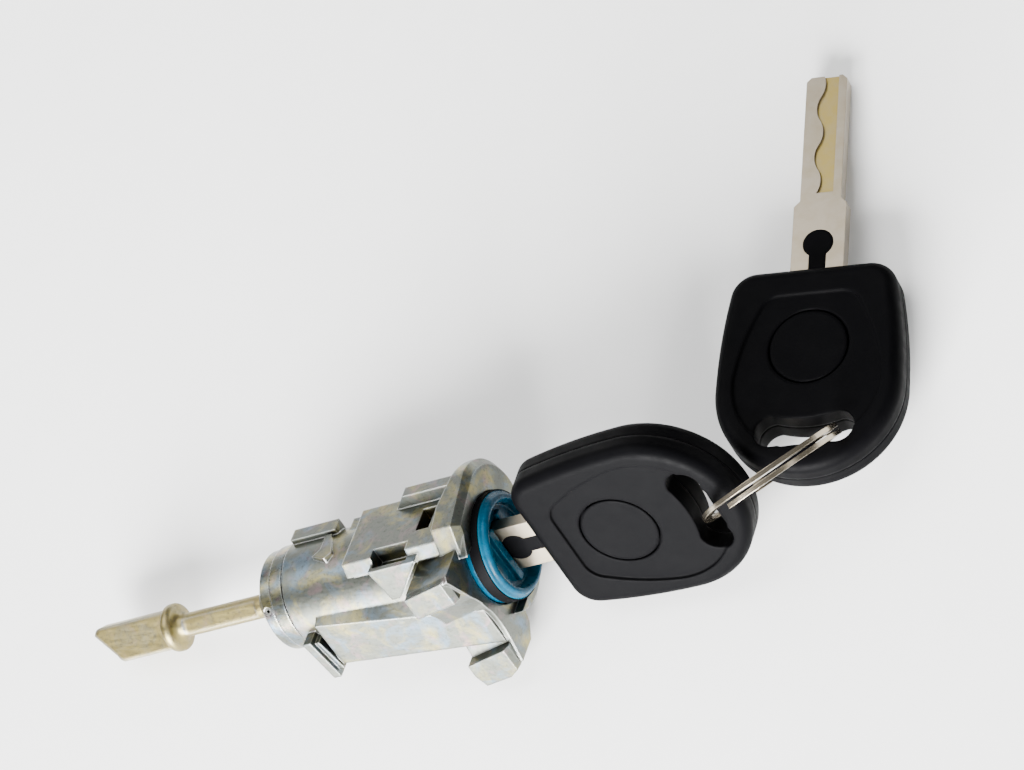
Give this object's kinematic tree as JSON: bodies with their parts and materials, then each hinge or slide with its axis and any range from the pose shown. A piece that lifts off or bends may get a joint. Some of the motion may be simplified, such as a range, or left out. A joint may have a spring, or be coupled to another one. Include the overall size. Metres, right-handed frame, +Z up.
{
  "type": "car door lock cylinder",
  "caption": "Car door lock cylinder with a flanged die-cast housing, a wafer plug with its key inserted, a rear drive tail and a spare key on a split ring.",
  "frame": {"origin": "the lock's axis at the front face of the housing", "axes": "+Z up from the surface that the lock and the keys lie on, +X out of the lock's face along that surface, with the lock's nose lifted 5.7 degrees, +Y away from the side that carries the foot"},
  "size_m": [0.1535, 0.0967, 0.0317],
  "materials": {
    "die_cast_zinc": "zinc die casting, grey, slightly rough",
    "zinc_sleeve": "turned zinc alloy",
    "plug_brass": "machined brass",
    "wafer_brass": "stamped brass",
    "cap_plastic": "moulded dark blue plastic",
    "seal_rubber": "black rubber",
    "washer_steel": "stamped steel",
    "spring_steel": "drawn spring steel",
    "driver_steel": "plated steel",
    "key_steel": "nickel plated, milled",
    "tongue_plastic": "moulded black plastic",
    "bow_plastic": "moulded black plastic, fine grain",
    "badge_plastic": "bare moulded disc",
    "chip_glass": "glass capsule",
    "ring_steel": "nickel plated spring steel"
  },
  "bodies": {
    "housing": {"housing": "die_cast_zinc"},
    "sleeve": {"sleeve": "zinc_sleeve"},
    "plug": {"plug": "plug_brass", "front_cap": "cap_plastic", "cap_seal": "seal_rubber", "thrust_washer": "washer_steel", "return_spring": "spring_steel", "wafer_springs": "spring_steel"},
    "driver": {"driver_disc": "driver_steel", "driver_cone": "die_cast_zinc", "tail_shaft": "die_cast_zinc", "roll_pin": "spring_steel"},
    "inserted_key": {"inserted_key_blade": "key_steel", "inserted_key_tongue": "tongue_plastic", "inserted_key_front_shell": "bow_plastic", "inserted_key_back_shell": "bow_plastic", "inserted_key_badge": "badge_plastic", "inserted_key_chip": "chip_glass"},
    "split_ring": {"split_ring": "ring_steel"},
    "spare_key": {"spare_key_blade": "key_steel", "spare_key_tongue": "tongue_plastic", "spare_key_front_shell": "bow_plastic", "spare_key_back_shell": "bow_plastic", "spare_key_badge": "badge_plastic", "spare_key_chip": "chip_glass"},
    "wafer_1": {"wafer_1": "wafer_brass"},
    "wafer_2": {"wafer_2": "wafer_brass"},
    "wafer_3": {"wafer_3": "wafer_brass"},
    "wafer_4": {"wafer_4": "wafer_brass"},
    "wafer_5": {"wafer_5": "wafer_brass"},
    "wafer_6": {"wafer_6": "wafer_brass"},
    "wafer_7": {"wafer_7": "wafer_brass"},
    "wafer_8": {"wafer_8": "wafer_brass"}
  },
  "joints": [
    {"name": "plug_turn", "type": "hinge", "parent": "housing", "child": "plug", "pos_m": [0, 0, 0], "axis": [0.9951, 0, 0.0993], "range_deg": [-60, 60], "stiffness_Nm_per_rad": 0.05},
    {"name": "sleeve_turn", "type": "hinge", "parent": "housing", "child": "sleeve", "pos_m": [0, 0, 0], "axis": [0.9951, 0, 0.0993], "range_deg": [-60, 60]},
    {"name": "driver_turn", "type": "hinge", "parent": "housing", "child": "driver", "pos_m": [-0.03731, 0, -0.00372], "axis": [0.9951, 0, 0.0993], "range_deg": [-60, 60]},
    {"name": "key_slide", "type": "slide", "parent": "plug", "child": "inserted_key", "axis": [0.9951, 0, 0.0993], "range_m": [0, 0.036]},
    {"name": "ring_turn", "type": "hinge", "parent": "inserted_key", "child": "split_ring", "pos_m": [0.04954, 0.00219, 0.00217], "axis": [-0.3702, 0.781, 0.503], "range_deg": [-20, 10]},
    {"name": "spare_key_turn", "type": "hinge", "parent": "split_ring", "child": "spare_key", "pos_m": [0.04954, 0.00219, 0.00217], "axis": [-0.3702, 0.781, 0.503], "range_deg": [0, 15]},
    {"name": "wafer_1_slide", "type": "slide", "parent": "plug", "child": "wafer_1", "axis": [-0.0889, 0.4462, 0.8905], "range_m": [0, 0.0009]},
    {"name": "wafer_2_slide", "type": "slide", "parent": "plug", "child": "wafer_2", "axis": [-0.0889, 0.4462, 0.8905], "range_m": [-0.0009, 0]},
    {"name": "wafer_3_slide", "type": "slide", "parent": "plug", "child": "wafer_3", "axis": [-0.0889, 0.4462, 0.8905], "range_m": [0, 0.0009]},
    {"name": "wafer_4_slide", "type": "slide", "parent": "plug", "child": "wafer_4", "axis": [-0.0889, 0.4462, 0.8905], "range_m": [-0.0009, 0]},
    {"name": "wafer_5_slide", "type": "slide", "parent": "plug", "child": "wafer_5", "axis": [-0.0889, 0.4462, 0.8905], "range_m": [0, 0.0009]},
    {"name": "wafer_6_slide", "type": "slide", "parent": "plug", "child": "wafer_6", "axis": [-0.0889, 0.4462, 0.8905], "range_m": [-0.0009, 0]},
    {"name": "wafer_7_slide", "type": "slide", "parent": "plug", "child": "wafer_7", "axis": [-0.0889, 0.4462, 0.8905], "range_m": [0, 0.0009]},
    {"name": "wafer_8_slide", "type": "slide", "parent": "plug", "child": "wafer_8", "axis": [-0.0889, 0.4462, 0.8905], "range_m": [-0.0009, 0]}
  ],
  "couplings": [
    {"joint": "driver_turn", "follows": "plug_turn", "ratio": 1},
    {"joint": "wafer_1_slide", "follows": "key_slide", "ratio": 0.025},
    {"joint": "wafer_2_slide", "follows": "key_slide", "ratio": -0.025},
    {"joint": "wafer_3_slide", "follows": "key_slide", "ratio": 0.025},
    {"joint": "wafer_4_slide", "follows": "key_slide", "ratio": -0.025},
    {"joint": "wafer_5_slide", "follows": "key_slide", "ratio": 0.025},
    {"joint": "wafer_6_slide", "follows": "key_slide", "ratio": -0.025},
    {"joint": "wafer_7_slide", "follows": "key_slide", "ratio": 0.025},
    {"joint": "wafer_8_slide", "follows": "key_slide", "ratio": -0.025}
  ]
}
